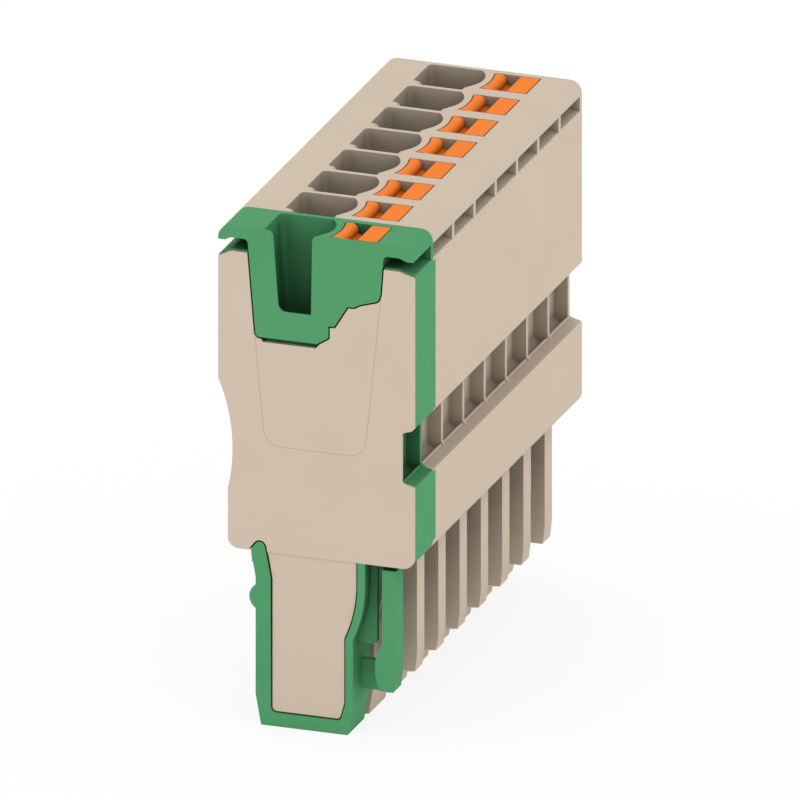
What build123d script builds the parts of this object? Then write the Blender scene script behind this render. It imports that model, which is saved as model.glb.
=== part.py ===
from build123d import *
import os

# Pluggable push-in terminal block: a row of moulded poles stacked along Y, each with a wire
# funnel and a release pusher on top and a plug-in tongue with a latch leg below.
# X runs across a pole, Y along the row of poles, Z up. Sketches are drawn as (X, Z) seen
# from the front, or as (X, Y) seen from above, with X = 0 at the left side of the body,
# Y = 0 at the front of the first pole's tongue and Z = 0 at the tongues' tips.

# Row of poles
POLES = 8
PITCH = 5.1
REAR = 4.45  # back face of a pole, from the plane of its tongue's front
BACK_WALL = 0.45
LAP = 0.6  # tail of the right side wall that lies over the next pole
LAP_THICKNESS = 0.5
DEPTH = PITCH * (POLES - 1) + REAR
POLE_FRONT = REAR - PITCH  # front rim of every pole but the first
ROOM_BACK = REAR - BACK_WALL

# Widths across the top, from the left slot to the right one
LEFT_SLOT = 2.5
FUNNEL_WALL = 1.4
FUNNEL_WIDTH = 4.5
FUNNEL_BULGE = 0.8
MIDDLE_WALL = 0.25
WINDOW_WIDTH = 4.05
WINDOW_WALL = 0.55
RIGHT_SLOT = 2.65
HEAD_LEFT = LEFT_SLOT
FUNNEL_LEFT = HEAD_LEFT + FUNNEL_WALL
FUNNEL_RIGHT = FUNNEL_LEFT + FUNNEL_WIDTH
WINDOW_LEFT = FUNNEL_RIGHT + FUNNEL_BULGE + MIDDLE_WALL
WINDOW_RIGHT = WINDOW_LEFT + WINDOW_WIDTH
HEAD_RIGHT = WINDOW_RIGHT + WINDOW_WALL
BODY_WIDTH = HEAD_RIGHT + RIGHT_SLOT

# Heights of the body, its lips and the slots under them
BODY_TOP = 42.45
BODY_FLOOR = 14.85
LIP_THICKNESS = 1.03
LIP_TIP_DROP = 0.25
LIP_SLOT = 1.02
HEAD_HEIGHT = 9.26
LIP_UNDER = BODY_TOP - LIP_THICKNESS
LIP_TIP_UNDER = LIP_UNDER - LIP_TIP_DROP
CHEEK_TOP = LIP_UNDER - LIP_SLOT
HEAD_LOW = BODY_TOP - HEAD_HEIGHT

# Shape of the side walls and lips, seen from the front
CHEEK_RAMP = (1.05, 0.55)  # sloped shoulder of each side wall: across, down
LEFT_STEP = 0.83  # the lower left side stands this far in
LEFT_STEP_ROUND = 0.9
RIGHT_ROUND = 1.0
BITE_RADIUS = 15.03  # shallow finger hollow in the left side
BITE_DEPTH = 1.23
BITE_RISE = 8.5
LEFT_LIP_ROUND = 1.1
LEFT_LIP_EDGE = 0.12
RIGHT_LIP_ROUND = 1.02
RIGHT_LIP_EDGE = 0.2
RIB_DEPTH = 0.5  # rib that closes each slot under the lips at the back
BITE_HEIGHT = BODY_FLOOR + BITE_RISE

# Wire funnel
FUNNEL_FRONT = 0.12
FUNNEL_DEPTH = 8.1
FUNNEL_FOOT_STEP = 0.48  # the front wall leans in below the neck
FUNNEL_TAPER = 0.1  # inward lean of the left and back walls, per unit of depth
FUNNEL_CORNER = 0.45
NECK_DEPTH = 6.85
NECK_STEP_LEFT = 0.75
NECK_STEP_RIGHT = 0.4
NECK_LEAN = 0.5
NECK_CORNER = 0.7
WIRE_HOLE_RADIUS = 1.2
WIRE_HOLE_WALL = 0.2  # between the wire hole and the end cover
WIRE_HOLE_LENGTH = 2.15
FUNNEL_LEAN = FUNNEL_DEPTH * FUNNEL_TAPER
FUNNEL_FLOOR = BODY_TOP - FUNNEL_DEPTH
NECK_FLOOR = BODY_TOP - NECK_DEPTH

# Pusher and its window
WINDOW_BULGE = 0.3
WINDOW_CORNER = 0.25
WINDOW_FRONT = 0.15
WINDOW_BACK_WALL = 0.15  # in front of the pole's back wall
WINDOW_DEPTH = 4.8  # the shaft is wider below this depth, where the pusher's shoulder stops
SHAFT_EXTRA = 0.1
PUSHER_GAP = 0.1
PUSHER_TRAVEL = 1.5
SHOULDER_GAP = 0.15
PUSHER_LENGTH = 16.15
PUSHER_TOE_LENGTH = 4.7
TOE_WIDTH = 1.3
SLOT_STEP = 1.18  # from the window's left side to the screwdriver slot
SLOT_WIDTH = 1.17
SLOT_ROUND = 0.55
SLOT_SHALLOW = 0.8
SLOT_DEEP = 1.3
WINDOW_BACK = ROOM_BACK - WINDOW_BACK_WALL
WINDOW_LEDGE = BODY_TOP - WINDOW_DEPTH
PUSHER_TOE = BODY_TOP - PUSHER_LENGTH
PUSHER_HEEL = PUSHER_TOE + PUSHER_TOE_LENGTH
PUSHER_BACK = WINDOW_BACK - PUSHER_GAP
SHAFT_LEFT = WINDOW_LEFT - SHAFT_EXTRA
STEM_LEFT = SHAFT_LEFT + PUSHER_GAP
STEM_RIGHT = WINDOW_RIGHT - PUSHER_GAP

# Clamp chamber inside the body, open to the front until the next pole or the cover shuts it
CHAMBER_STEP = 0.4  # from the funnel's left side to the chamber's
CHAMBER_SIDE = 0.1
CHAMBER_BASE = 1.35
CHAMBER_CORNER = 0.5
CHAMBER_LEFT = FUNNEL_LEFT + CHAMBER_STEP
CHAMBER_RIGHT = WINDOW_RIGHT + CHAMBER_SIDE
CHAMBER_FLOOR = BODY_FLOOR + CHAMBER_BASE
CHAMBER_ROOF = FUNNEL_FLOOR - WIRE_HOLE_LENGTH

# Recess in the right side
RECESS_RISE = 7.02
RECESS_HEIGHT = 5.08
RECESS_DEPTH = 1.05
RECESS_SLOPE_LOW = 0.3
RECESS_SLOPE_HIGH = 0.5
FIN_THICKNESS = 0.45  # wall between the pocket of one pole and the next
FIN_LAP = 0.25  # as much of that wall stands in the next pole's pocket
POCKET_WALL = 0.9  # between the pocket and the clamp chamber
POCKET_FLOOR = (0.25, 0.35)  # rises inwards above the recess's low edge, sinks outwards below it
POCKET_RIM = 0.2
POCKET_FOOT = 0.35  # rounding where that wall meets the ledge
RECESS_LOW = BODY_FLOOR + RECESS_RISE
RECESS_HIGH = RECESS_LOW + RECESS_HEIGHT
RECESS_WALL = BODY_WIDTH - RECESS_DEPTH
RECESS_LEDGE = RECESS_LOW + RECESS_SLOPE_LOW
POCKET_BACK = CHAMBER_RIGHT + POCKET_WALL
POCKET_MOUTH = RECESS_WALL - POCKET_RIM

# Tongue that enters the socket
TONGUE_DEPTH = 4.0
TONGUE_LEFT = 3.19
TONGUE_WIDTH = 8.27
TONGUE_TIP_LEAN = 0.46
TONGUE_TIP_TAPER = 2.7
SHOULDER_LOW = 8.2  # the right side swells above this height
SHOULDER_RISE = 4.4
SHOULDER_OUT = 1.02
TONGUE_ROOT_SHIFT = 0.4
TONGUE_WALL_LEFT = 1.27
TONGUE_WALL_RIGHT = 0.64
TONGUE_FLOOR = 1.15
TONGUE_SKIN = 0.45
BUMP_HEIGHT = 10.92
BUMP_OUT = 0.54
BUMP_RADIUS = 1.18
RIB_HEAD_RISE = 1.1
BLADE_SLOT = (5.2, 1.3)  # opening for the mating blade: across, along
TONGUE_RIGHT = TONGUE_LEFT + TONGUE_WIDTH
TONGUE_MIDDLE = TONGUE_LEFT + TONGUE_WIDTH / 2
SHOULDER_HIGH = SHOULDER_LOW + SHOULDER_RISE

# Latch leg, its guard fin and its catch
LEG_STEP = 1.29  # from the tongue's swollen side to the leg
LEG_WIDTH = 1.18
LEG_FRONT = 0.45
LEG_DEPTH = 1.75
LEG_TIP = 3.95
LEG_HEAD_GAP = 0.5
LEG_HINGE_DEPTH = 0.82
LEG_BULGE = 0.6
LEG_TIP_TAPER = 0.17
FIN_FRONT = 1.35
FIN_DEPTH = 0.4
FIN_STEP = 0.7  # from the fin's edge to the leg
FIN_LOW = 7.56
FIN_ROUND = 0.4
CATCH_FRONT = 2.05
CATCH_DEPTH = 0.5
CATCH_GAP = 0.1  # to the bulge of the leg
CATCH_LOW = 3.4
CATCH_HEIGHT = 2.53
LEG_X = TONGUE_RIGHT + SHOULDER_OUT + LEG_STEP
LEG_BACK = LEG_FRONT + LEG_DEPTH

# End cover
COVER_SKIN = 0.18  # its edge, over the walls of the first pole
COVER_THICKNESS = 0.45  # where it plugs the chamber and the tongue
COVER_GAP = 0.13
NOTCH_DROP = 0.4  # open strip between the cover and the underside of the head
NOTCH_DEPTH = 0.55
PANEL_SINK = 0.12
PANEL_GROOVE = (0.06, 0.02)  # width and depth of the line round the plain label panel
PANEL_DROP = 9.24

# Pegs that pin the cover and each pole to the next
PEG_RADIUS = 0.7
PEG_LENGTH = 1.2
PEG_HOLE_GAP = 0.1
PEG_PLACES = [
    (LEFT_STEP + 1.77, BODY_FLOOR + 3.35),
    (BODY_WIDTH - 1.6, CHEEK_TOP - 8.9),
    (HEAD_LEFT - 1.05, CHEEK_TOP - 4.9),
]

# Contact and clamp spring
CONTACT_THICKNESS = 0.8
CONTACT_WIDTH = 2.4
CONTACT_DROP = 1.7  # from the chamber's roof to the bar's top
YOKE_DROP = 1.45
TINE_THICKNESS = 0.5
TINE_WIDTH = 3.6
TINE_LOW = 2.4
TINE_PINCH = 0.6
SPRING_THICKNESS = 0.35
SPRING_WIDTH = 2.6
SPRING_FOOT_RISE = 2.0
SPRING_CROWN_RISE = 1.1  # above the pusher's toe
SPRING_REACH = 4.7  # from the toe down to the end of the clamping leg
SPRING_BEND = 1.0
CONTACT_YOKE = BODY_FLOOR - YOKE_DROP
SPRING_FOOT = CHAMBER_FLOOR + SPRING_FOOT_RISE
SPRING_CROWN = PUSHER_TOE + SPRING_CROWN_RISE


def outline(corners):
    """Closed face from (x, z, corner radius) corners."""
    points = [(x, z) for x, z, radius in corners]
    radii = [radius for x, z, radius in corners]
    return make_face(FilletPolyline(*points, radius=radii, close=True))


def slab(face, front, back):
    """Solid of an (X, Z) face between two depths along Y."""
    plane = Plane(origin=(0, back, 0), x_dir=(1, 0, 0), z_dir=(0, -1, 0))
    return extrude(plane * face, amount=back - front)


def block(x_range, y_range, z_range):
    """Plain box between six faces."""
    size = [high - low for low, high in (x_range, y_range, z_range)]
    centre = [(low + high) / 2 for low, high in (x_range, y_range, z_range)]
    return Pos(*centre) * Box(*size)


def peg(place, front, back, radius):
    """Round bar along Y."""
    return slab(Pos(*place) * Circle(radius), front, back)


def cheek_outline(top):
    """Side walls and floor of the body up to the slots under the lips, without the head."""
    across, down = CHEEK_RAMP
    return outline([
        (LEFT_STEP, BODY_FLOOR, LEFT_STEP_ROUND),
        (LEFT_STEP, BITE_HEIGHT - 2, 0),
        (0, BITE_HEIGHT, 0),
        (0, top - down, 0.15),
        (across, top, 0.8),
        (BODY_WIDTH - across - 0.3, top, 0.8),
        (BODY_WIDTH, top - down + 0.15, 0.15),
        (BODY_WIDTH, RECESS_HIGH, 0.1),
        (BODY_WIDTH - 0.25, RECESS_HIGH - 0.25, 0.1),
        (RECESS_WALL, RECESS_HIGH - RECESS_SLOPE_HIGH, 0.15),
        (RECESS_WALL, RECESS_LOW + RECESS_SLOPE_LOW, 0.15),
        (BODY_WIDTH, RECESS_LOW, 0.1),
        (BODY_WIDTH, BODY_FLOOR, RIGHT_ROUND),
    ]) - bite()


def bite():
    """Disc that hollows the left side."""
    return Pos(BITE_DEPTH - BITE_RADIUS, BITE_HEIGHT) * Circle(BITE_RADIUS)


def head_outline():
    """Head with the wire funnel and the pusher window, and a lip on each side of it."""
    lip_side = BODY_TOP - LIP_TIP_UNDER - 0.05
    left_round = min(LEFT_LIP_ROUND, lip_side - LEFT_LIP_EDGE)
    right_round = min(RIGHT_LIP_ROUND, lip_side - RIGHT_LIP_EDGE)
    return outline([
        (HEAD_LEFT, LIP_UNDER, 0.4),
        (HEAD_LEFT + 0.67, HEAD_LOW + 0.22, 0.15),
        (HEAD_LEFT + 0.87, HEAD_LOW, 0.1),
        (FUNNEL_RIGHT, HEAD_LOW, 0.2),
        (WINDOW_LEFT - 0.08, HEAD_LOW + 0.63, 0.1),
        (WINDOW_LEFT - 0.08, HEAD_LOW + 1.64, 0.05),
        (WINDOW_LEFT + 0.42, HEAD_LOW + 1.64, 0.2),
        (WINDOW_LEFT + 1.55, HEAD_LOW + 3.51, 0.25),
        (WINDOW_LEFT + 2.1, HEAD_LOW + 3.51, 0.3),
        (WINDOW_LEFT + 2.55, HEAD_LOW + 3.79, 0.5),
        (HEAD_RIGHT - 0.43, HEAD_LOW + 4.29, 0.5),
        (HEAD_RIGHT - 0.25, HEAD_LOW + 4.91, 0.4),
        (HEAD_RIGHT, LIP_UNDER, 0.4),
        (BODY_WIDTH - 1.3, LIP_UNDER, 0.5),
        (BODY_WIDTH - 0.7, LIP_TIP_UNDER, 0.3),
        (BODY_WIDTH, LIP_TIP_UNDER, RIGHT_LIP_EDGE),
        (BODY_WIDTH, BODY_TOP, right_round),
        (0, BODY_TOP, left_round),
        (0, LIP_TIP_UNDER, LEFT_LIP_EDGE),
        (0.6, LIP_TIP_UNDER, 0.25),
        (1.05, LIP_UNDER, 0.35),
    ])


def tongue_arc(inset):
    """Swelling right side of the tongue, between the narrow and the wide part."""
    low = (TONGUE_RIGHT - inset, SHOULDER_LOW)
    middle = (TONGUE_RIGHT + SHOULDER_OUT * 0.63 - inset, SHOULDER_LOW + 1.78)
    high = (TONGUE_RIGHT + SHOULDER_OUT - inset, SHOULDER_HIGH)
    return ThreePointArc(low, middle, high)


def tongue_profile(left, right_inset, tip_left, tip_right, low, top, corner):
    """Closed outline of the tongue or of the room inside it."""
    right = TONGUE_RIGHT - right_inset
    arc = tongue_arc(right_inset)
    root_left = left - TONGUE_ROOT_SHIFT
    sides = Polyline(
        arc @ 1,
        (right + SHOULDER_OUT, top),
        (root_left, top),
        (left, SHOULDER_HIGH),
        (left, max(low + corner, TONGUE_TIP_TAPER - 0.1)),
        (tip_left, low),
        (tip_right, low),
        (right, TONGUE_TIP_TAPER),
        arc @ 0,
    )
    face = make_face([arc, sides])
    if corner:
        tips = face.vertices().filter_by_position(Axis.Y, low - 0.01, low + 0.01)
        face = fillet(tips, corner)
    return face


def tongue_outline():
    """Outer shape of the tongue, with the bead on its left side."""
    tip_left = TONGUE_LEFT + TONGUE_TIP_LEAN
    tip_right = TONGUE_RIGHT - TONGUE_TIP_LEAN
    body = tongue_profile(TONGUE_LEFT, 0, tip_left, tip_right, 0, BODY_FLOOR, 0)
    bead_x = TONGUE_LEFT - BUMP_OUT + BUMP_RADIUS
    return body + Pos(bead_x, BUMP_HEIGHT) * Circle(BUMP_RADIUS)


def tongue_room_outline():
    """Room for the contact inside the tongue."""
    left = TONGUE_LEFT + TONGUE_WALL_LEFT
    tip_right = TONGUE_RIGHT - TONGUE_WALL_RIGHT - 0.4
    return tongue_profile(left, TONGUE_WALL_RIGHT, left, tip_right, TONGUE_FLOOR, BODY_FLOOR, 0.5)


def rib_head_outline():
    """Rounded head of the tongue's left rib, which stands in the plane of the cover."""
    left = TONGUE_LEFT - TONGUE_ROOT_SHIFT
    right = left + TONGUE_WALL_LEFT
    return outline([
        (left + 0.1, BODY_FLOOR - 1, 0),
        (left, BODY_FLOOR + 0.1, 0.1),
        (left + 0.78, BODY_FLOOR + RIB_HEAD_RISE, 0.42),
        (right - 0.08, BODY_FLOOR + 0.45, 0.2),
        (right + 0.1, BODY_FLOOR - 1, 0),
    ])


def side_slab(face, left, right):
    """Solid of a (Y, Z) face between two places along X."""
    plane = Plane(origin=(left, 0, 0), x_dir=(0, 1, 0), z_dir=(1, 0, 0))
    return extrude(plane * face, amount=right - left)


def funnel_well():
    """Funnel down to its floor: left and back walls lean inwards, the right side bulges."""
    walls = slab(make_face(Polyline(
        (FUNNEL_LEFT, BODY_TOP),
        (FUNNEL_RIGHT, BODY_TOP),
        (FUNNEL_RIGHT, FUNNEL_FLOOR),
        (FUNNEL_LEFT + FUNNEL_LEAN, FUNNEL_FLOOR),
        close=True,
    )), FUNNEL_FRONT, ROOM_BACK)
    bulge = ThreePointArc(
        (FUNNEL_RIGHT, FUNNEL_FRONT),
        (FUNNEL_RIGHT + FUNNEL_BULGE, (FUNNEL_FRONT + ROOM_BACK) / 2),
        (FUNNEL_RIGHT, ROOM_BACK),
    )
    bay_plan = make_face([bulge, Line(bulge @ 1, bulge @ 0)])
    bay = extrude(Pos(0, 0, FUNNEL_FLOOR) * bay_plan, amount=FUNNEL_DEPTH)
    lean = side_slab(make_face(Polyline(
        (FUNNEL_FRONT, BODY_TOP),
        (ROOM_BACK, BODY_TOP),
        (ROOM_BACK - FUNNEL_LEAN, FUNNEL_FLOOR),
        (FUNNEL_FRONT + FUNNEL_FOOT_STEP, FUNNEL_FLOOR),
        (FUNNEL_FRONT, NECK_FLOOR),
        close=True,
    )), FUNNEL_LEFT, FUNNEL_RIGHT + FUNNEL_BULGE)
    well = (walls + bay) & lean
    middle = (FUNNEL_LEFT + FUNNEL_LEAN / 2, ROOM_BACK - FUNNEL_LEAN / 2, BODY_TOP - FUNNEL_DEPTH / 2)
    corner = well.edges().sort_by_distance(middle)[0]
    return fillet(corner, FUNNEL_CORNER)


def funnel_room():
    """Wire funnel, its open neck towards the front and the round wire hole below it."""
    neck_left = FUNNEL_LEFT + NECK_STEP_LEFT
    neck_right = FUNNEL_RIGHT - NECK_STEP_RIGHT
    neck = outline([
        (FUNNEL_LEFT, BODY_TOP, 0),
        (neck_left, BODY_TOP - 0.1, 0.5),
        (neck_left + NECK_LEAN, NECK_FLOOR, NECK_CORNER),
        (neck_right - 0.1, NECK_FLOOR, 0.1),
        (neck_right, BODY_TOP - 0.1, 0.5),
        (neck_right + 0.7, BODY_TOP, 0),
    ])
    opening = slab(neck, POLE_FRONT, FUNNEL_FRONT + 1)
    hole_x, hole_y = wire_axis()
    hole_z = FUNNEL_FLOOR - WIRE_HOLE_LENGTH / 2
    hole = Pos(hole_x, hole_y, hole_z) * Cylinder(WIRE_HOLE_RADIUS, WIRE_HOLE_LENGTH)
    return funnel_well() + opening + hole


def wire_axis():
    """Place of the wire hole in the funnel's floor, close behind the end cover."""
    middle_x = (FUNNEL_LEFT + FUNNEL_LEAN + FUNNEL_RIGHT) / 2
    middle_y = COVER_THICKNESS + WIRE_HOLE_WALL + WIRE_HOLE_RADIUS
    return middle_x, middle_y


def window_plan():
    """Pusher window seen from above: its left side bulges inwards."""
    middle = (WINDOW_LEFT + WINDOW_BULGE, (WINDOW_FRONT + WINDOW_BACK) / 2)
    arc = ThreePointArc((WINDOW_LEFT, WINDOW_FRONT), middle, (WINDOW_LEFT, WINDOW_BACK))
    walls = Polyline(arc @ 1, (WINDOW_RIGHT, WINDOW_BACK), (WINDOW_RIGHT, WINDOW_FRONT), arc @ 0)
    window = make_face([arc, walls])
    corner = window.vertices().sort_by_distance(arc @ 1)[0]
    return fillet(corner, WINDOW_CORNER)


def pusher_room():
    """Shaft for the pusher: the shaped window above, a wider plain shaft below."""
    window = extrude(Pos(0, 0, WINDOW_LEDGE) * window_plan(), amount=WINDOW_DEPTH)
    shaft_low = CHAMBER_ROOF - CHAMBER_CORNER
    shaft = block((SHAFT_LEFT, WINDOW_RIGHT), (COVER_THICKNESS, WINDOW_BACK), (shaft_low, WINDOW_LEDGE))
    return window + shaft


def pusher():
    """Orange release pusher with its screwdriver slot, shoulder and toe."""
    shoulder = WINDOW_LEDGE - SHOULDER_GAP
    cap_plan = Pos(0, 0, shoulder) * offset(window_plan(), -PUSHER_GAP)
    cap = extrude(cap_plan, amount=BODY_TOP - shoulder)
    front = COVER_THICKNESS + PUSHER_GAP
    step_top = WINDOW_LEDGE + PUSHER_TRAVEL + SHOULDER_GAP
    cap -= block((WINDOW_LEFT, WINDOW_RIGHT), (0, front), (shoulder - 1, step_top))
    toe_right = STEM_LEFT + TOE_WIDTH
    stem = slab(outline([
        (STEM_LEFT, shoulder, 0.1),
        (STEM_RIGHT, shoulder, 0),
        (STEM_RIGHT, PUSHER_HEEL, 0.3),
        (toe_right + 0.9, PUSHER_HEEL, 0.5),
        (toe_right, PUSHER_TOE + 1.2, 0.5),
        (toe_right, PUSHER_TOE, 0.5),
        (STEM_LEFT, PUSHER_TOE, 0.5),
    ]), front, PUSHER_BACK)
    return cap + stem - screwdriver_slot()


def screwdriver_slot():
    """Wedge-shaped slot across the pusher's top, with a rounded left edge."""
    left = WINDOW_LEFT + SLOT_STEP
    right = left + SLOT_WIDTH
    edge = Line((left - SLOT_ROUND, BODY_TOP), (right, BODY_TOP))
    walls = Polyline(
        edge @ 1,
        (right, BODY_TOP - SLOT_DEEP),
        (left, BODY_TOP - SLOT_SHALLOW),
        (left, BODY_TOP - SLOT_ROUND),
    )
    turn = SLOT_ROUND * 0.7071
    middle = (left - SLOT_ROUND + turn, BODY_TOP - SLOT_ROUND + turn)
    rounding = ThreePointArc(walls @ 1, middle, edge @ 0)
    return slab(make_face([edge, walls, rounding]), 0, REAR)


def chamber_outline():
    """Section of the clamp chamber."""
    return outline([
        (CHAMBER_LEFT, CHAMBER_FLOOR, CHAMBER_CORNER),
        (CHAMBER_RIGHT, CHAMBER_FLOOR, CHAMBER_CORNER),
        (CHAMBER_RIGHT, CHAMBER_ROOF, CHAMBER_CORNER),
        (CHAMBER_LEFT, CHAMBER_ROOF, CHAMBER_CORNER),
    ])


def tongue_room(front):
    """Room inside the tongue, its way up into the chamber, and the blade slot in its floor."""
    back = TONGUE_DEPTH - TONGUE_SKIN
    room = slab(tongue_room_outline(), front, back)
    throat_left = TONGUE_LEFT + TONGUE_WALL_LEFT
    throat_right = TONGUE_RIGHT - TONGUE_WALL_RIGHT
    throat = block((throat_left, throat_right), (front, back), (BODY_FLOOR - 1, CHAMBER_FLOOR))
    across, along = BLADE_SLOT
    slot_y = TONGUE_DEPTH / 2
    slot = block(
        (TONGUE_MIDDLE - across / 2, TONGUE_MIDDLE + across / 2),
        (slot_y - along / 2, slot_y + along / 2),
        (-1, TONGUE_FLOOR + 0.1),
    )
    return room + throat + slot


def recess_room(front, back):
    """Pocket in the recess: its floor sinks behind the ledge, and it opens to the side above it."""
    rise, sink = POCKET_FLOOR
    high = RECESS_HIGH - RECESS_SLOPE_HIGH
    room = slab(outline([
        (POCKET_BACK, RECESS_LOW + rise, 0.3),
        (POCKET_MOUTH, RECESS_LOW - sink, 0),
        (POCKET_MOUTH, high, 0),
        (POCKET_BACK, high, 0.2),
    ]), front, back)
    mouth = block((POCKET_MOUTH - 0.1, RECESS_WALL), (front, back), (RECESS_LEDGE, high))
    return room + mouth


def pocket_tail():
    """Part of a pocket's back wall that stands in the next pole's pocket, with a rounded foot."""
    back = REAR + FIN_LAP
    half = POCKET_FOOT / 2
    square = Pos(back + half, RECESS_LEDGE + half) * Rectangle(POCKET_FOOT, POCKET_FOOT)
    hollow = Pos(back + POCKET_FOOT, RECESS_LEDGE + POCKET_FOOT) * Circle(POCKET_FOOT)
    foot = side_slab(square - hollow, POCKET_MOUTH, RECESS_WALL)
    return recess_room(REAR - 0.1, back) + foot


def latch():
    """Latch leg with its hinge neck, the guard fin beside it and the catch under it."""
    left = LEG_X
    right = LEG_X + LEG_WIDTH
    head = BODY_FLOOR - LEG_HEAD_GAP
    leg = slab(outline([
        (left, head, 0),
        (left, LEG_TIP + 4.3, 1.5),
        (left - LEG_BULGE, LEG_TIP + 2.4, 1.2),
        (left - LEG_BULGE + 0.03, LEG_TIP + 1.3, 0.6),
        (left - 0.22, LEG_TIP, 0.1),
        (right - LEG_TIP_TAPER, LEG_TIP, 0.1),
        (right, LEG_TIP + 1.5, 0.5),
        (right, head, 0),
    ]), LEG_FRONT, LEG_BACK)
    neck = block((left, right), (LEG_BACK - LEG_HINGE_DEPTH, LEG_BACK), (head - 0.5, BODY_FLOOR + 0.3))
    root = TONGUE_RIGHT - TONGUE_WALL_RIGHT / 2
    fin = slab(outline([
        (root, FIN_LOW, 0),
        (left - FIN_STEP, FIN_LOW, FIN_ROUND),
        (left - FIN_STEP, BODY_FLOOR + 0.3, 0),
        (root, BODY_FLOOR + 0.3, 0),
    ]), FIN_FRONT, FIN_FRONT + FIN_DEPTH)
    catch = block(
        (root, left - LEG_BULGE - CATCH_GAP),
        (CATCH_FRONT, CATCH_FRONT + CATCH_DEPTH),
        (CATCH_LOW, CATCH_LOW + CATCH_HEIGHT),
    )
    return leg + neck + fin + catch


def body(front, head_front):
    """Body of one pole: side walls, head and lips, solid but for its rooms."""
    rib_front = REAR - RIB_DEPTH
    walls = slab(cheek_outline(CHEEK_TOP) + head_outline(), front, REAR)
    head = slab(head_outline(), head_front, front + 0.1)
    rib = block((0, BODY_WIDTH), (rib_front, REAR), (CHEEK_TOP - CHEEK_RAMP[1], LIP_UNDER))
    return walls + head + rib


def lap_block(front, back):
    """Tail of the right side wall, or the seat for it, clear of the recess."""
    x_range = (BODY_WIDTH - LAP_THICKNESS, BODY_WIDTH)
    lower = block(x_range, (front, back), (BODY_FLOOR + RIGHT_ROUND, RECESS_LOW - 0.1))
    upper = block(x_range, (front, back), (RECESS_HIGH + 0.1, CHEEK_TOP - 0.6))
    return lower + upper


def housing(index):
    """Moulded housing of one pole, in its place in the row."""
    first = index == 0
    last = index == POLES - 1
    front = COVER_SKIN if first else POLE_FRONT
    head_front = 0 if first else POLE_FRONT
    pocket_back = REAR - FIN_THICKNESS + (0 if last else FIN_LAP)
    shell = body(front, head_front) + slab(tongue_outline(), 0, TONGUE_DEPTH) + latch()
    if first:
        shell += slab(rib_head_outline(), 0, COVER_THICKNESS + 0.1)
        for stands_out in (head_outline(), rib_head_outline()):
            ring = offset(stands_out, COVER_GAP) - stands_out - tongue_outline()
            shell -= slab(ring, 0, COVER_THICKNESS)
        shell -= slab(head_notch() - head_outline(), 0, NOTCH_DEPTH)
        shell -= notch_ledge(0, NOTCH_DEPTH, HEAD_LOW - NOTCH_DROP)
    shell -= funnel_room() + pusher_room()
    shell -= slab(chamber_outline(), front, ROOM_BACK)
    shell -= tongue_room(0 if first else TONGUE_SKIN)
    shell -= recess_room(front, pocket_back)
    for place in PEG_PLACES:
        shell -= peg(place, front, front + PEG_LENGTH + PEG_HOLE_GAP, PEG_RADIUS + PEG_HOLE_GAP)
    if not first:
        shell -= lap_block(POLE_FRONT, REAR - PITCH + LAP)
    if not last:
        shell += lap_block(REAR - 0.1, REAR + LAP) + pocket_tail()
        for place in PEG_PLACES:
            shell += peg(place, REAR - 0.1, REAR + PEG_LENGTH, PEG_RADIUS)
    return Pos(0, index * PITCH, 0) * shell


def end_cover():
    """Lid of the first pole: a thin-edged plate, a plug in the chamber and a panel in the tongue."""
    face = cheek_outline(CHEEK_TOP - COVER_GAP) - offset(head_outline(), COVER_GAP) - head_notch()
    face -= offset(rib_head_outline(), COVER_GAP)
    plate = slab(face, 0, COVER_SKIN)
    plug = slab(offset(chamber_outline(), -COVER_GAP), PANEL_SINK, COVER_THICKNESS)
    panel = slab(offset(tongue_room_outline(), -COVER_GAP), PANEL_SINK, COVER_THICKNESS)
    step_left = TONGUE_LEFT + TONGUE_WALL_LEFT - TONGUE_ROOT_SHIFT + COVER_GAP
    step_right = TONGUE_RIGHT + SHOULDER_OUT - TONGUE_WALL_RIGHT - COVER_GAP
    neck_left = CHAMBER_LEFT + CHAMBER_CORNER
    neck_right = TONGUE_RIGHT - TONGUE_WALL_RIGHT - COVER_GAP
    step = (BODY_FLOOR - 2 * COVER_GAP, BODY_FLOOR)
    rise = (BODY_FLOOR - 2 * COVER_GAP, CHAMBER_FLOOR + 2 * COVER_GAP)
    bridge = block((step_left, step_right), (PANEL_SINK, COVER_THICKNESS), step)
    bridge += block((neck_left, neck_right), (PANEL_SINK, COVER_THICKNESS), rise)
    ledge = notch_ledge(COVER_GAP, COVER_THICKNESS, HEAD_LOW - NOTCH_DROP)
    cover = plate + plug + ledge + panel + bridge - label_groove()
    for place in PEG_PLACES:
        cover += peg(place, COVER_SKIN - 0.1, COVER_SKIN + PEG_LENGTH, PEG_RADIUS)
    return cover


def head_notch():
    """Open strip in the cover along the underside of the head."""
    low = HEAD_LOW - NOTCH_DROP
    return outline([
        (HEAD_LEFT + 0.85, HEAD_LOW + 0.1, 0),
        (HEAD_LEFT + 1.3, low, 0.1),
        (FUNNEL_RIGHT - 0.12, low, 0.1),
        (FUNNEL_RIGHT + 0.33, HEAD_LOW + 0.1, 0),
    ])


def notch_ledge(gap, back, top):
    """Thick edge of the cover below the open strip, or with no gap the seat for it."""
    return block(
        (HEAD_LEFT + 1.3 + gap, FUNNEL_RIGHT - 0.12 - gap),
        (PANEL_SINK, back),
        (CHAMBER_ROOF - CHAMBER_CORNER, top),
    )


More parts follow.
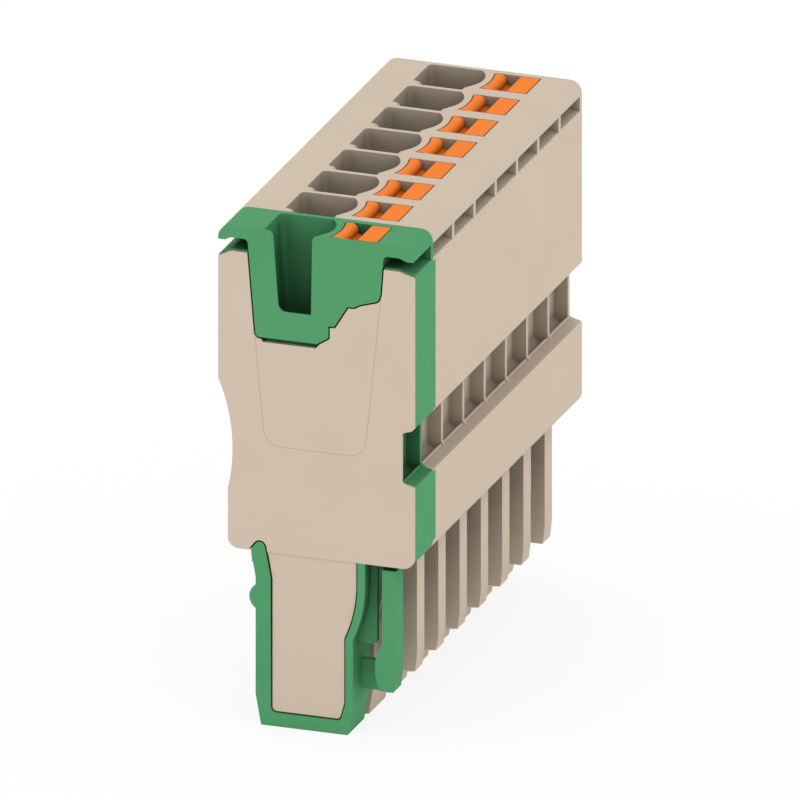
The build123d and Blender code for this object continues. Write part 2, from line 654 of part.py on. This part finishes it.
def label_groove():
    """Fine line round the plain label panel on the cover."""
    width, depth = PANEL_GROOVE
    left = HEAD_LEFT + 0.62
    right = HEAD_RIGHT - 0.2
    low = HEAD_LOW - PANEL_DROP
    frame = outline([
        (left, HEAD_LOW, 0),
        (left + 0.7, low + 1.45, 0),
        (left + 0.83, low, 1.5),
        (right - 1.35, low, 1.5),
        (right - 1.23, low + 1.45, 0),
        (right, HEAD_LOW + 4.4, 0),
        (right, CHEEK_TOP + 0.6, 0),
        (left, CHEEK_TOP + 0.6, 0),
    ])
    return slab(frame - offset(frame, -width), -0.1, depth)


def strip(points, radii, thickness, front, back):
    """Bent metal strip: its middle line in (X, Z), with a radius at each bend."""
    line = FilletPolyline(*points, radius=radii)
    return slab(trace(line, thickness), front, back)


def clamp_spring():
    """Leaf spring: a fixed leg, a loop and the clamping leg under the pusher's toe."""
    half = SPRING_THICKNESS / 2
    fixed_x = CHAMBER_RIGHT - half
    crown_x = STEM_LEFT + TOE_WIDTH + 0.55
    tip_x = CHAMBER_LEFT + CONTACT_THICKNESS + half + 0.15
    return strip([
        (fixed_x - 2.2, SPRING_FOOT),
        (fixed_x, SPRING_FOOT),
        (fixed_x, SPRING_CROWN),
        (crown_x, SPRING_CROWN),
        (crown_x - 0.35, SPRING_CROWN - 2 * SPRING_CROWN_RISE),
        (tip_x, PUSHER_TOE - SPRING_REACH),
    ], [0.5, SPRING_BEND, 0.9, 0.5], SPRING_THICKNESS, PUSHER_BACK - SPRING_WIDTH, PUSHER_BACK)


def contact():
    """Current bar beside the wire, a yoke, and a two-tined fork for the mating blade."""
    middle_y = TONGUE_DEPTH / 2
    bar_x = CHAMBER_LEFT + CONTACT_THICKNESS / 2
    bar_top = CHAMBER_ROOF - CONTACT_DROP
    bar_low = CHAMBER_FLOOR + CONTACT_THICKNESS / 2
    front = middle_y - CONTACT_WIDTH / 2
    back = middle_y + CONTACT_WIDTH / 2
    bar = strip([
        (bar_x + 1.6, bar_top),
        (bar_x, bar_top - 1.6),
        (bar_x, bar_low),
        (TONGUE_MIDDLE, bar_low),
        (TONGUE_MIDDLE, CONTACT_YOKE),
    ], [1.2, 0.6, 0.6], CONTACT_THICKNESS, front, back)
    half = TINE_THICKNESS / 2
    outer = CONTACT_WIDTH / 2 - half
    tines = [tine(middle_y, outer, side) for side in (-1, 1)]
    yoke = block(
        (TONGUE_MIDDLE - TINE_WIDTH / 2, TONGUE_MIDDLE + TINE_WIDTH / 2),
        (front, back),
        (CONTACT_YOKE - 0.6, CONTACT_YOKE + 0.6),
    )
    return bar + yoke + tines[0] + tines[1]


def tine(middle_y, outer, side):
    """One leaf of the fork, bent in (Y, Z) so that it pinches the blade near its end."""
    half = TINE_THICKNESS / 2
    pinch = TINE_PINCH / 2 + half
    line = FilletPolyline(
        (middle_y + side * outer, CONTACT_YOKE),
        (middle_y + side * outer, CONTACT_YOKE - 3),
        (middle_y + side * pinch, TINE_LOW + 2),
        (middle_y + side * (pinch + 0.4), TINE_LOW),
        radius=[3.0, 1.2],
    )
    plane = Plane(origin=(TONGUE_MIDDLE - TINE_WIDTH / 2, 0, 0), x_dir=(0, 1, 0), z_dir=(1, 0, 0))
    return extrude(plane * trace(line, TINE_THICKNESS), amount=TINE_WIDTH)


def in_row(shape, index):
    """Copy of a pole's inner piece, moved to its pole."""
    return Pos(0, index * PITCH, 0) * shape


def write(name, shape):
    """Move a piece to the part's own frame and write it."""
    placed = Pos(-BODY_WIDTH / 2, -DEPTH / 2, 0) * shape
    export_step(placed, f"parts/{name}.step")


def main():
    os.makedirs("parts", exist_ok=True)
    write("end_cover", end_cover())
    one_pusher = pusher()
    one_spring = clamp_spring()
    one_contact = contact()
    middle_housing = housing(1)
    for index in range(POLES):
        number = index + 1
        if index in (0, POLES - 1):
            shell = housing(index)
        else:
            shell = in_row(middle_housing, index - 1)
        write(f"housing_{number}", shell)
        write(f"pusher_{number}", in_row(one_pusher, index))
        write(f"clamp_spring_{number}", in_row(one_spring, index))
        write(f"contact_{number}", in_row(one_contact, index))


main()
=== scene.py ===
import math

import bmesh
import bpy
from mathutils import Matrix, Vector


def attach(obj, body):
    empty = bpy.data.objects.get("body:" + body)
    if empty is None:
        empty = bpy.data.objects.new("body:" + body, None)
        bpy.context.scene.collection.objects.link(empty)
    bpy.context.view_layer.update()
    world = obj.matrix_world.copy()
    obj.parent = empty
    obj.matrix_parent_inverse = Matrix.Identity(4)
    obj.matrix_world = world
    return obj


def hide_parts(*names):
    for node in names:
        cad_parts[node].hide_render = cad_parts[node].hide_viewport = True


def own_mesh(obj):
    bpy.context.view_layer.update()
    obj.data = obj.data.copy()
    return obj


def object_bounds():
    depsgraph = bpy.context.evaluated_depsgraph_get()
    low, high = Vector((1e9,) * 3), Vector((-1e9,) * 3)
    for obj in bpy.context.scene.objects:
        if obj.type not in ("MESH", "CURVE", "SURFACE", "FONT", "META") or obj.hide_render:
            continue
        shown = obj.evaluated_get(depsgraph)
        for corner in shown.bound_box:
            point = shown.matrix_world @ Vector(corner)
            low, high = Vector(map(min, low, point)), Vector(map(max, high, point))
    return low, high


# A row of eight moulded poles: the first green behind its beige end cover, the others beige,
# each with an orange release pusher. Lengths are in metres.

POLES = 8
POLE_NUMBERS = range(1, POLES + 1)
GREEN_POLE = 1
PITCH = 0.0051

# Camera: a parallel view, with its angles in degrees
CAMERA_AZIMUTH = 19.52
CAMERA_ELEVATION = 20.76
CAMERA_WIDTH = 0.0641
CAMERA_DISTANCE = 0.4
CAMERA_NEAR = 0.01
CAMERA_FAR = 10

# Colours as they are seen, in linear values
BEIGE = (0.635, 0.526, 0.421)
GREEN = (0.091, 0.337, 0.147)
ORANGE = (0.932, 0.233, 0.031)
STEEL = (0.62, 0.62, 0.6)
COPPER = (0.72, 0.5, 0.3)
WHITE = (1, 1, 1, 1)

# Finish of the mouldings: roughness, and strength of the grain
BEIGE_FINISH = (0.55, 0.35)
GREEN_FINISH = (0.5, 0.3)
ORANGE_FINISH = (0.45, 0.25)
MOULDING_SPECULAR = 0.015
# Roughness of the metals
STEEL_ROUGH = 0.3
COPPER_ROUGH = 0.35

# Noises: scale, detail and roughness
CLOUDS = (180.0, 3.0, 0.5)
GRAIN = (9000.0, 2.0, 0.6)
PATCHES = (700.0, 2.0, 0.5)
LINES = (12000.0, 3.0, 0.5)
# Values between which most of a noise lies
NOISE_ENDS = (0.3, 0.7)
# What they do: range of the shade, steps down and up in roughness, and height of the relief
CLOUD_SHADES = (0.985, 1.015)
LINE_SHADES = (0.93, 1.05)
PATCH_STEPS = (0.05, 0.05)
LINE_STEPS = (0.06, 0.08)
GRAIN_HEIGHT = 0.00001
LINE_HEIGHT = 0.000005
LINE_STRENGTH = 0.3
# The lines are drawn out along the height
LINE_STRETCH = (1.0, 1.0, 0.04)

# Painted shade in hollows, darkening the colour where less light reaches: how far a wall is
# looked for, then for each moulding how strongly it darkens, its darkest tone, and the share of
# it that the recess and the slots under the lips take
HOLLOW_REACH = 0.009
BEIGE_HOLLOW = (0.68, 0.47, 0.78)
COVER_HOLLOW = (0.2, 0.47, 1.0)
GREEN_HOLLOW = (0.68, 0.34, 1.0)
ORANGE_HOLLOW = (0.4, 0.47, 1.0)
# The height and the distance to each side over which that share comes in
SIDE_HEIGHT = (0.02, 0.0205)
SIDE_REACH = (0.0056, 0.0058)
# Painted shade in fine joints, darkening the colour: the reach, the openness where it is full
# and where it ends, and its darkest tone
JOINT_REACH = 0.0004
JOINT_OPENNESS = (0.1, 0.45)
JOINT_PAINTED_DARKEST = 0.15
# Height over which the painted shade of the hollows fades in above the floor
HOLLOW_FADE = (0.002, 0.011)
OPENNESS_SAMPLES = 8

# Rounded foot of each wall between two pockets of the side recess: the recess's wall, the height
# of its ledge there, and the slope of the ledge, as its rise over the depth of the recess
FOOT_WALL = 0.0073
FOOT_LEDGE = 0.02217
FOOT_SLOPE = 0.3 / 1.05
# Its radius, its place in the first pole, its thickness, and how far it sinks into the moulding
FOOT_RADIUS = 0.00045
FOOT_FRONT = -0.015825
FOOT_DEPTH = 0.00045
FOOT_SINK = 0.00002
FOOT_STEPS = 12

# Floor: a round plate, and the share of plain white in what the camera sees of it
FLOOR_RADIUS = 0.6
FLOOR_SIDES = 96
FLOOR_WHITE = 0.85

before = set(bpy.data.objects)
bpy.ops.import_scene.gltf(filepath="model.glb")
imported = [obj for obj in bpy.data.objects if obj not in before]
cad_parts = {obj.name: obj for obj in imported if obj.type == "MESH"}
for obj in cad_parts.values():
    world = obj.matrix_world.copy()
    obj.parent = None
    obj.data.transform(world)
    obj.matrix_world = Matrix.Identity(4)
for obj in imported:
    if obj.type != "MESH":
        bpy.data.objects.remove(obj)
CAD_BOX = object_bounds()
scene = bpy.context.scene


def graph(name):
    """New material with an empty node tree: (material, make node, link)."""
    material = bpy.data.materials.new(name)
    material.use_nodes = True
    tree = material.node_tree
    tree.nodes.clear()

    def make(kind, **values):
        node = tree.nodes.new(kind)
        for key, value in values.items():
            if key in node.inputs:
                node.inputs[key].default_value = value
            else:
                setattr(node, key, value)
        return node

    return material, make, tree.links.new


def noise(make, link, where, scale, detail, rough):
    """Noise over the given coordinates; returns its value socket."""
    node = make("ShaderNodeTexNoise", Scale=scale, Detail=detail, Roughness=rough)
    link(where, node.inputs["Vector"])
    return node.outputs["Fac"]


def ramp(make, link, value, ends, low, high):
    """Map a value between two ends to a range, and hold it there."""
    node = make("ShaderNodeMapRange")
    node.inputs["From Min"].default_value = ends[0]
    node.inputs["From Max"].default_value = ends[1]
    node.inputs["To Min"].default_value = low
    node.inputs["To Max"].default_value = high
    link(value, node.inputs["Value"])
    return node.outputs["Result"]


def reckon(make, link, operation, *values):
    """One step of arithmetic; each value is a socket or a plain number."""
    node = make("ShaderNodeMath", operation=operation)
    for place, value in enumerate(values):
        if isinstance(value, float):
            node.inputs[place].default_value = value
        else:
            link(value, node.inputs[place])
    return node.outputs["Value"]


def openness(make, reach):
    """How open the place is within a reach, from 0 to 1."""
    node = make("ShaderNodeAmbientOcclusion", samples=OPENNESS_SAMPLES, Distance=reach)
    return node.outputs["AO"]


def side_share(make, link, place, share):
    """The share of the painted hollow shade in the recess and the slots under the lips, and 1
    elsewhere.
    """
    side = reckon(make, link, "ABSOLUTE", place["X"])
    beside = ramp(make, link, side, SIDE_REACH, 0.0, 1.0)
    above = ramp(make, link, place["Z"], SIDE_HEIGHT, 0.0, 1.0)
    inside = reckon(make, link, "MULTIPLY", beside, above)
    return ramp(make, link, inside, (0.0, 1.0), 1.0, share)


def painted_hollow_shade(make, link, where, hollow):
    """Painted shade: a darker tone in hollows and fine joints, where less light reaches, and
    none of the hollows' part where the piece nears the floor.
    """
    power, darkest, share = hollow
    deep = reckon(make, link, "POWER", openness(make, HOLLOW_REACH), power)
    held = reckon(make, link, "MAXIMUM", deep, darkest)
    split = make("ShaderNodeSeparateXYZ")
    link(where, split.inputs["Vector"])
    place = split.outputs
    fade = ramp(make, link, place["Z"], HOLLOW_FADE, 0.0, 1.0)
    amount = reckon(make, link, "MULTIPLY", fade, side_share(make, link, place, share))
    tone = make("ShaderNodeMix", data_type="FLOAT", A=1.0)
    link(amount, tone.inputs["Factor"])
    link(held, tone.inputs["B"])
    # painted shade in fine joints, from how open the place is close by
    joint_painted_shade = ramp(make, link, openness(make, JOINT_REACH), JOINT_OPENNESS, JOINT_PAINTED_DARKEST, 1.0)
    return reckon(make, link, "MULTIPLY", tone.outputs["Result"], joint_painted_shade)


def tinted(make, link, colour, shade):
    """A colour with its value scaled by a shade."""
    node = make("ShaderNodeHueSaturation")
    node.inputs["Color"].default_value = (*colour, 1)
    link(shade, node.inputs["Value"])
    return node.outputs["Color"]


def relief(make, link, height, strength, distance):
    """Surface normal with a fine relief."""
    node = make("ShaderNodeBump", Strength=strength, Distance=distance)
    link(height, node.inputs["Height"])
    return node.outputs["Normal"]


def surface(make, link, colour, rough, normal):
    """Shader with its output; returns the shader."""
    shader = make("ShaderNodeBsdfPrincipled")
    link(colour, shader.inputs["Base Color"])
    link(rough, shader.inputs["Roughness"])
    link(normal, shader.inputs["Normal"])
    out = make("ShaderNodeOutputMaterial")
    link(shader.outputs["BSDF"], out.inputs["Surface"])
    return shader


def moulding(name, colour, finish, hollow):
    """Moulded plastic: spark-eroded grain, slow shade changes, painted shade in hollows and
    joints.
    """
    rough, strength = finish
    down, up = PATCH_STEPS
    material, make, link = graph(name)
    where = make("ShaderNodeTexCoord").outputs["Object"]
    clouds = ramp(make, link, noise(make, link, where, *CLOUDS), NOISE_ENDS, *CLOUD_SHADES)
    # painted shade of hollows and joints, multiplied with the slow shade changes into the colour
    painted_shade = painted_hollow_shade(make, link, where, hollow)
    shade = reckon(make, link, "MULTIPLY", clouds, painted_shade)
    grain = noise(make, link, where, *GRAIN)
    patches = noise(make, link, where, *PATCHES)
    shader = surface(
        make, link,
        tinted(make, link, colour, shade),
        ramp(make, link, patches, NOISE_ENDS, rough - down, rough + up),
        relief(make, link, grain, strength, GRAIN_HEIGHT),
    )
    shader.inputs["Specular IOR Level"].default_value = MOULDING_SPECULAR
    return material


def metal(name, colour, rough):
    """Rolled strip with fine lines along the height."""
    down, up = LINE_STEPS
    material, make, link = graph(name)
    where = make("ShaderNodeTexCoord").outputs["Object"]
    stretch = make("ShaderNodeMapping")
    stretch.inputs["Scale"].default_value = LINE_STRETCH
    link(where, stretch.inputs["Vector"])
    lines = noise(make, link, stretch.outputs["Vector"], *LINES)
    shade = ramp(make, link, lines, NOISE_ENDS, *LINE_SHADES)
    shader = surface(
        make, link,
        tinted(make, link, colour, shade),
        ramp(make, link, lines, NOISE_ENDS, rough - down, rough + up),
        relief(make, link, lines, LINE_STRENGTH, LINE_HEIGHT),
    )
    shader.inputs["Metallic"].default_value = 1.0
    return material


def floor_material():
    """Pale floor that reads as nearly white to the camera and keeps the shadows."""
    material, make, link = graph("floor")
    rays = make("ShaderNodeLightPath").outputs
    seen = reckon(make, link, "MAXIMUM", rays["Is Camera Ray"], rays["Is Glossy Ray"])
    through = reckon(make, link, "MAXIMUM", seen, rays["Is Transmission Ray"])
    amount = reckon(make, link, "MULTIPLY", through, FLOOR_WHITE)
    shader = make("ShaderNodeBsdfDiffuse", Color=WHITE)
    white = make("ShaderNodeEmission", Strength=1.0)
    mix = make("ShaderNodeMixShader")
    link(amount, mix.inputs["Fac"])
    link(shader.outputs["BSDF"], mix.inputs[1])
    link(white.outputs["Emission"], mix.inputs[2])
    out = make("ShaderNodeOutputMaterial")
    link(mix.outputs["Shader"], out.inputs["Surface"])
    return material


def dress(node, material):
    """Give a CAD node its material."""
    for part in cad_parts[node].material_slots:
        part.material = material


def add_piece(name, mesh, material):
    """New piece of the block and its material."""
    piece = bpy.data.objects.new(name, mesh)
    scene.collection.objects.link(piece)
    mesh.materials.clear()
    mesh.materials.append(material)
    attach(piece, "block")
    return piece


def add_spring(number):
    """Clamp spring, as a piece of its own in place of the CAD spring."""
    node = f"clamp_spring_{number}"
    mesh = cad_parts[node].data.copy()
    spring = add_piece(f"spring_{number}", mesh, steel)
    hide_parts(node)
    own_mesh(spring)


def foot_profile():
    """Hollow rounding between the recess's wall and its sloping ledge, as (x, z) points."""
    long = math.hypot(1, FOOT_SLOPE)
    centre_x = FOOT_WALL + FOOT_RADIUS
    centre_z = FOOT_LEDGE + FOOT_RADIUS * (long - FOOT_SLOPE)
    sweep = math.atan2(1, FOOT_SLOPE)
    points = []
    for step in range(FOOT_STEPS + 1):
        turn = math.pi + sweep * step / FOOT_STEPS
        points.append((
            centre_x + FOOT_RADIUS * math.cos(turn),
            centre_z + FOOT_RADIUS * math.sin(turn),
        ))
    end_x, end_z = points[-1]
    points.append((end_x, end_z - FOOT_SINK))
    points.append((FOOT_WALL - FOOT_SINK, FOOT_LEDGE - FOOT_SINK))
    points.append((FOOT_WALL - FOOT_SINK, centre_z))
    return points


def add_foot(number):
    """Foot of the wall behind a pole's pocket."""
    profile = foot_profile()
    count = len(profile)
    front = FOOT_FRONT + PITCH * (number - 1)
    points = [(x, y, z) for y in (front, front + FOOT_DEPTH) for x, z in profile]
    sides = [
        (step, (step + 1) % count, count + (step + 1) % count, count + step)
        for step in range(count)
    ]
    caps = [list(range(count))[::-1], list(range(count, 2 * count))]
    mesh = bpy.data.meshes.new(f"pocket_foot_{number}")
    mesh.from_pydata(points, [], sides + caps)
    shell = bmesh.new()
    shell.from_mesh(mesh)
    bmesh.ops.recalc_face_normals(shell, faces=shell.faces)
    shell.to_mesh(mesh)
    shell.free()
    if number == GREEN_POLE:
        add_piece(mesh.name, mesh, green)
    else:
        add_piece(mesh.name, mesh, beige)


def add_floor():
    """Round floor under the object, part of the stage."""
    turns = [math.tau * step / FLOOR_SIDES for step in range(FLOOR_SIDES)]
    points = [
        (FLOOR_RADIUS * math.cos(turn), FLOOR_RADIUS * math.sin(turn), 0)
        for turn in turns
    ]
    mesh = bpy.data.meshes.new("floor")
    mesh.from_pydata(points, [], [list(range(FLOOR_SIDES))])
    floor = bpy.data.objects.new("floor", mesh)
    scene.collection.objects.link(floor)
    mesh.materials.append(floor_material())


def add_world():
    """White surroundings that light the object evenly."""
    world = bpy.data.worlds.new("studio")
    scene.world = world
    world.use_nodes = True
    background = world.node_tree.nodes["Background"]
    background.inputs["Color"].default_value = WHITE
    background.inputs["Strength"].default_value = 1.0


def add_camera():
    """Parallel camera aimed at the middle of the CAD box."""
    low, high = CAD_BOX
    centre = (low + high) / 2
    turn = math.radians(CAMERA_AZIMUTH)
    rise = math.radians(CAMERA_ELEVATION)
    back = Vector((
        math.sin(turn) * math.cos(rise),
        -math.cos(turn) * math.cos(rise),
        math.sin(rise),
    ))
    data = bpy.data.cameras.new("camera")
    data.type = "ORTHO"
    data.ortho_scale = CAMERA_WIDTH
    data.clip_start = CAMERA_NEAR
    data.clip_end = CAMERA_FAR
    camera = bpy.data.objects.new("camera", data)
    scene.collection.objects.link(camera)
    camera.rotation_mode = "QUATERNION"
    camera.location = centre + back * CAMERA_DISTANCE
    camera.rotation_quaternion = (-back).to_track_quat("-Z", "Y")
    scene.camera = camera


beige = moulding("beige_moulding", BEIGE, BEIGE_FINISH, BEIGE_HOLLOW)
# The end cover's moulding: the beige one with weaker painted shade in its hollows
cover = moulding("cover_moulding", BEIGE, BEIGE_FINISH, COVER_HOLLOW)
green = moulding("green_moulding", GREEN, GREEN_FINISH, GREEN_HOLLOW)
orange = moulding("orange_moulding", ORANGE, ORANGE_FINISH, ORANGE_HOLLOW)
steel = metal("spring_steel", STEEL, STEEL_ROUGH)
copper = metal("contact_metal", COPPER, COPPER_ROUGH)

dress("end_cover", cover)
for number in POLE_NUMBERS:
    dress(f"housing_{number}", green if number == GREEN_POLE else beige)
    dress(f"pusher_{number}", orange)
    dress(f"contact_{number}", copper)
    add_spring(number)
for number in range(1, POLES):
    add_foot(number)

add_floor()
add_world()
add_camera()
scene.view_settings.view_transform = "Standard"
